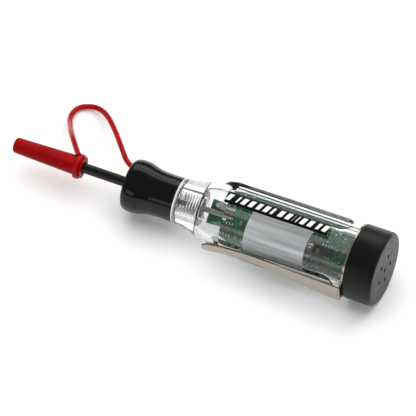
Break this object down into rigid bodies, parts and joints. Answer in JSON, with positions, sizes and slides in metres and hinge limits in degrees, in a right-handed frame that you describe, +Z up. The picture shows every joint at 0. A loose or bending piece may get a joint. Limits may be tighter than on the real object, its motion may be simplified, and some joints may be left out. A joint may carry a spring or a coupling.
{
  "type": "circuit test light",
  "caption": "Screwdriver-shaped electronic circuit tester: clear handle with board and cell inside, sleeved probe, tethered tip cap, pocket clip and screw-on rear cap with sounder.",
  "frame": {"origin": "on the tool's axis, at the middle of the rear cap's barrel", "axes": "+X along the tool towards the rear cap, the probe points to -X; +Z up as the tool lies on a table; the pocket clip is on the -Y side"},
  "size_m": [0.1668, 0.0601, 0.032],
  "materials": {
    "clear_polycarbonate": "clear, moulded, polished",
    "gloss_black_abs": "polished black moulding",
    "satin_black_abs": "satin black moulding",
    "black_sleeve": "satin heat-shrunk sleeve",
    "red_vinyl": "satin to glossy soft vinyl",
    "black_rubber": "matt nitrile rubber",
    "steel": "bright",
    "nickel": "nickel plated spring steel",
    "tinned_copper": "bright solder",
    "green_board": "green solder mask",
    "white_lead": "white insulation",
    "black_epoxy": "moulded epoxy",
    "tan_ceramic": "fired ceramic",
    "clear_lamp": "clear epoxy lamp",
    "silver_film": "shrunk silver-white film"
  },
  "bodies": {
    "handle": {"handle_body": "clear_polycarbonate", "nose_collar": "gloss_black_abs", "probe_ferrule": "nickel", "probe_rod": "steel", "probe_sleeve": "black_sleeve", "tether_cord": "red_vinyl", "tether_plug": "red_vinyl", "sounder": "satin_black_abs", "sounder_pins": "tinned_copper", "circuit_board": "green_board", "contact_spring": "steel", "spring_contact": "nickel", "terminal_screw": "nickel", "probe_lead": "white_lead", "driver_chips": "black_epoxy", "comparator_chip": "black_epoxy", "resistors": "black_epoxy", "capacitors": "tan_ceramic", "solder_joints": "tinned_copper", "indicator_lamps": "clear_lamp", "diode": "black_epoxy", "transistor": "black_epoxy", "cell_can": "steel", "cell_wrapper": "silver_film", "cell_contact_front": "nickel", "cell_contact_rear": "nickel", "clip_collar": "nickel"},
    "tip_cap": {"tip_cap": "red_vinyl", "tether_ring": "red_vinyl"},
    "seal": {"cap_seal": "black_rubber"},
    "rear_cap": {"rear_cap": "satin_black_abs"},
    "clip": {"clip_arm": "nickel"}
  },
  "joints": [
    {"name": "tip_cap_pull", "type": "slide", "parent": "handle", "child": "tip_cap", "axis": [-1, 0, 0], "range_m": [0, 0.028], "deforming": ["tether_cord"]},
    {"name": "cap_turn", "type": "hinge", "parent": "handle", "child": "seal", "pos_m": [0, 0, 0], "axis": [1, 0, 0], "range_deg": [0, 1080]},
    {"name": "cap_travel", "type": "slide", "parent": "seal", "child": "rear_cap", "axis": [1, 0, 0], "range_m": [0, 0.0061]},
    {"name": "clip_flex", "type": "hinge", "parent": "handle", "child": "clip", "pos_m": [-0.0071, -0.01747, -0.00211], "axis": [0, -0.1196, 0.9928], "range_deg": [0, 3], "stiffness_Nm_per_rad": 4}
  ],
  "couplings": [
    {"joint": "cap_travel", "follows": "cap_turn", "m_per_rad": 0.00031831}
  ]
}
